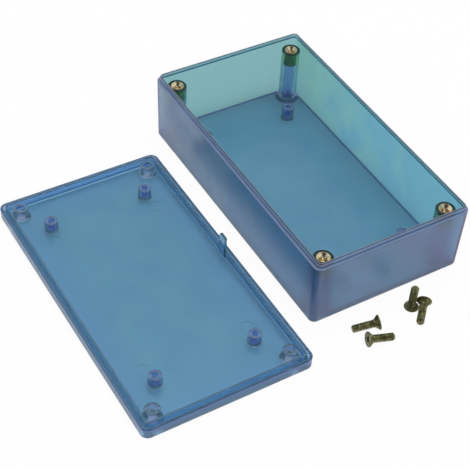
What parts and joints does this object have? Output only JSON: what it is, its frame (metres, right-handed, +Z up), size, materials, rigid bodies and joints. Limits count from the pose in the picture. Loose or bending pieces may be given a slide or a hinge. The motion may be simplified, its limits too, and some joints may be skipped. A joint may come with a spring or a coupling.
{
  "type": "abs enclosure",
  "caption": "Small translucent moulded case for a circuit board, shown open: box with threaded posts, lid with skirt and tubes, and loose countersunk screws.",
  "frame": {"origin": "centre of the box's underside", "axes": "+X along the long sides, +Y along the short sides away from the lid, +Z up out of the open box"},
  "size_m": [0.1309, 0.1321, 0.028],
  "materials": {
    "blue_plastic": "translucent blue, smooth moulded gloss",
    "insert_brass": "turned and knurled",
    "screw_steel": "dark olive passivated plating, low sheen"
  },
  "bodies": {
    "root": {"box": "blue_plastic", "lid": "blue_plastic", "insert_front_left": "insert_brass", "insert_front_right": "insert_brass", "insert_back_left": "insert_brass", "insert_back_right": "insert_brass", "screw_1": "screw_steel", "screw_2": "screw_steel", "screw_3": "screw_steel", "screw_4": "screw_steel"}
  },
  "joints": []
}
